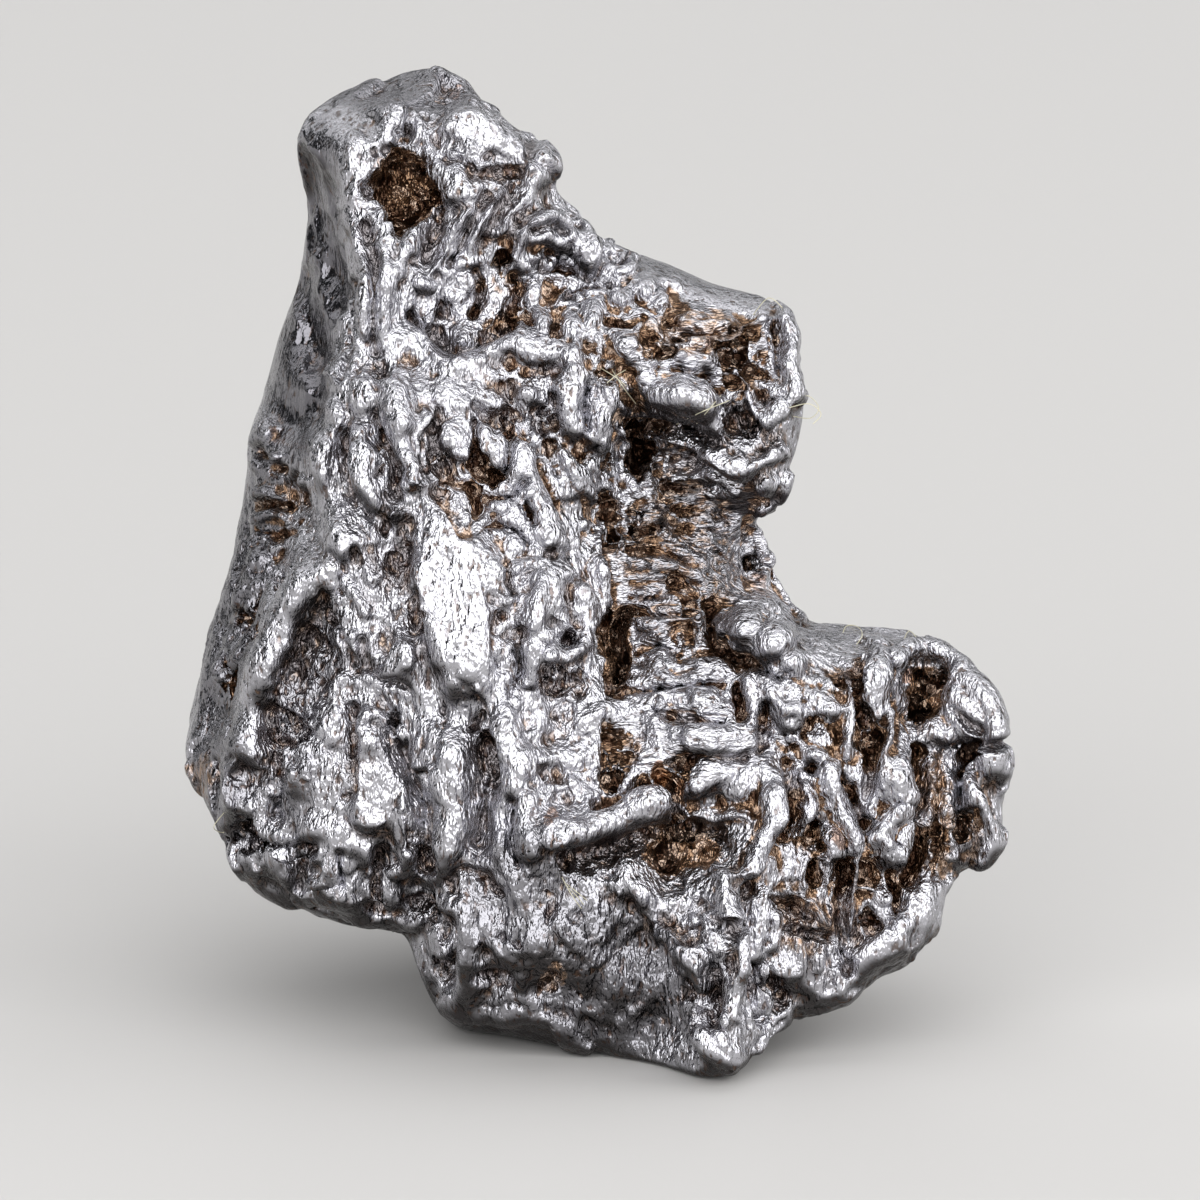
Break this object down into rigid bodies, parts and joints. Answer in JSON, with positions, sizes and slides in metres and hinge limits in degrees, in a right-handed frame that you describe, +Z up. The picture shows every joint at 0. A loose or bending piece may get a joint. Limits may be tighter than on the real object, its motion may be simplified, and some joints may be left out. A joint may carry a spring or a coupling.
{
  "type": "iron meteorite",
  "caption": "Twisted lump of bare nickel-iron with folded ridges, pits and rust-brown hollows, standing upright on its worn lower edge and heel.",
  "frame": {"origin": "centre of the bounding box's bottom face, on the surface that it stands on", "axes": "+Z up as it stands, +X to the right and -Y towards a viewer who faces its ridged side"},
  "size_m": [0.0208, 0.0152, 0.0233],
  "materials": {
    "meteoritic_iron": "bare polished nickel-iron with dark brown rust in its hollows"
  },
  "bodies": {
    "root": {"meteorite": "meteoritic_iron"}
  },
  "joints": []
}
